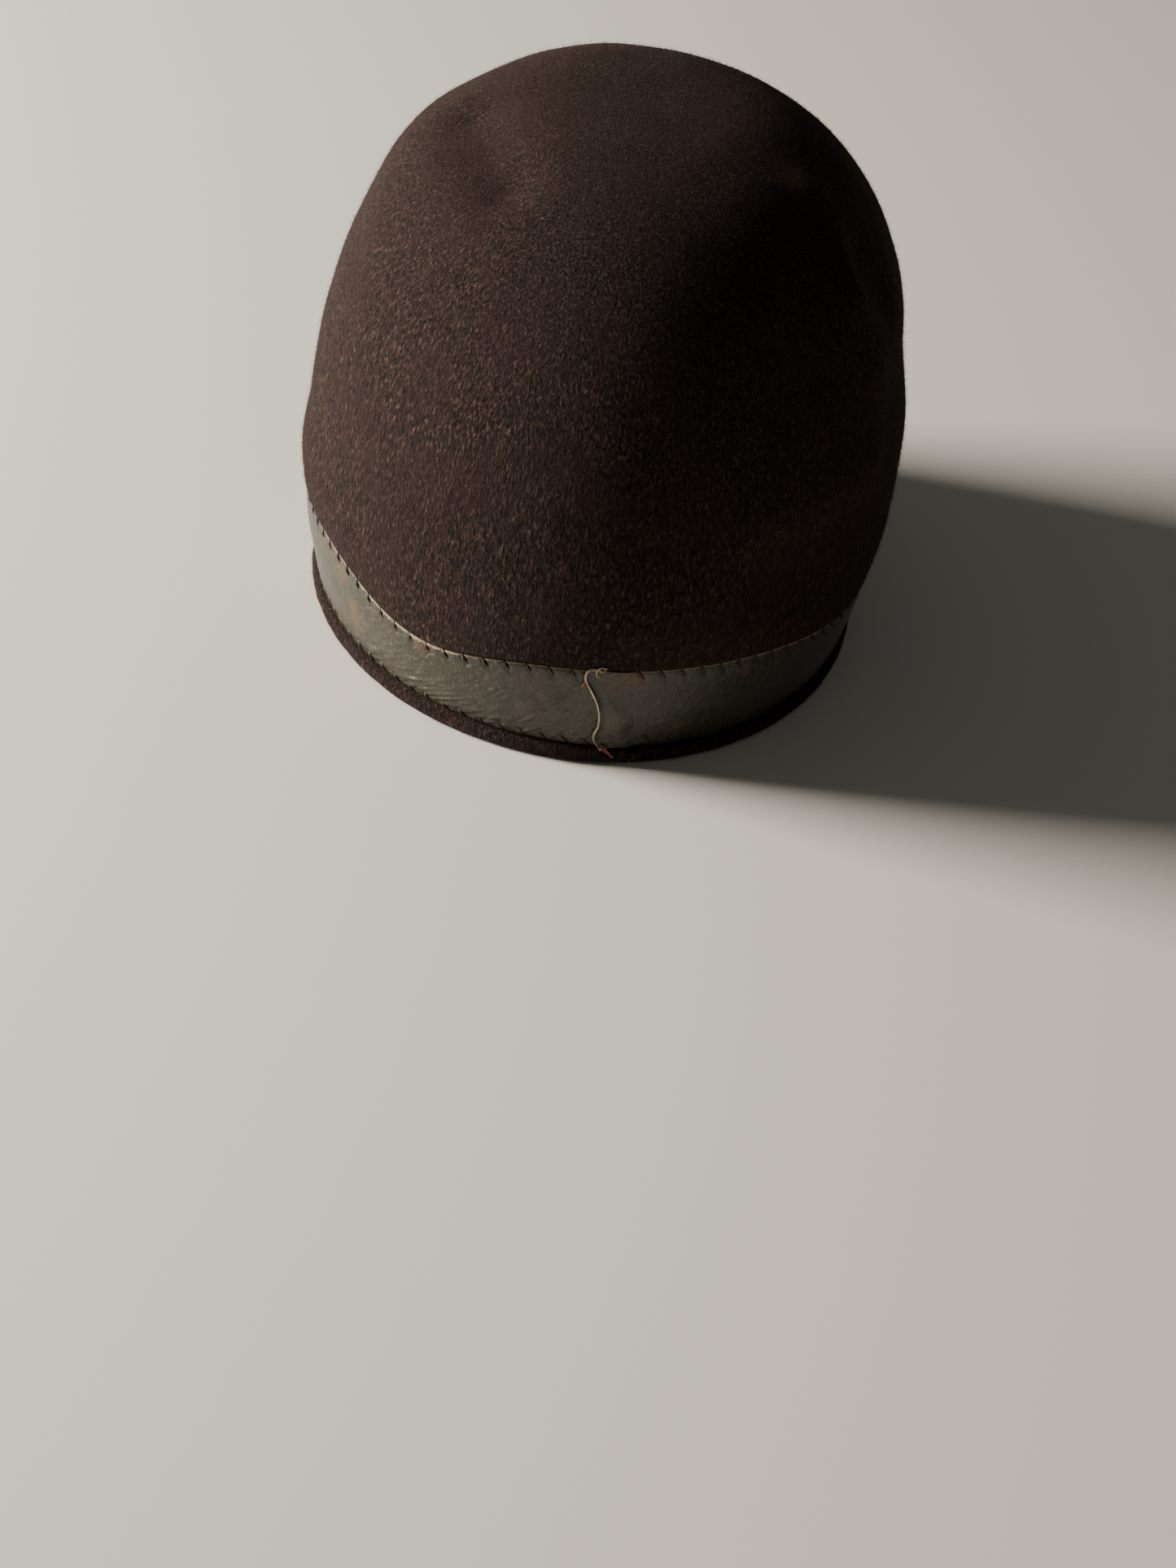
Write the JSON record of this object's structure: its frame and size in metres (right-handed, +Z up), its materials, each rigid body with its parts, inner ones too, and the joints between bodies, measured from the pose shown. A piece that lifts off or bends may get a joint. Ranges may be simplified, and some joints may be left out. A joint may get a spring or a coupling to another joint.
{
  "type": "bowler hat",
  "caption": "Deep-crowned felt bowler with a narrow turned-down brim, wrapped by a whip-stitched leather band, lined, with a ribbon sweatband.",
  "frame": {"origin": "centre of the brim's lower edge, on the surface the hat stands on", "axes": "+Z up through the crown, +Y towards the wearer's face, +X to the wearer's right"},
  "size_m": [0.1818, 0.2182, 0.165],
  "materials": {
    "felt": "brushed fur felt, short nap",
    "leather": "semi-gloss, fine pebbled grain, creased",
    "waxed_thread": "waxed, twisted",
    "tack_thread": "twisted cotton, faded",
    "wire": "drawn",
    "sleeve": "crimped",
    "grosgrain": "ribbed ribbon",
    "sewing_thread": "fine twisted thread",
    "satin": "satin weave",
    "label": "woven taffeta"
  },
  "bodies": {
    "hat": {"felt_hood": "felt", "trim_band": "leather", "band_top_stitches": "waxed_thread", "band_bottom_stitches": "waxed_thread", "band_join_tacks": "tack_thread", "brim_wire": "wire", "wire_joiner": "sleeve", "sweatband": "grosgrain", "sweatband_stitches": "sewing_thread", "sweatband_bow": "grosgrain", "lining_side": "satin", "lining_tip": "satin", "maker_label": "label", "label_stitches": "sewing_thread", "size_tag_tab": "label", "size_tag_stitches": "sewing_thread"},
    "tag_flap": {"size_tag": "label"}
  },
  "joints": [
    {"name": "tag_fold", "type": "hinge", "parent": "hat", "child": "tag_flap", "pos_m": [-0.07835, 0, 0.01985], "axis": [0, -1, 0], "range_deg": [0, 95]}
  ]
}
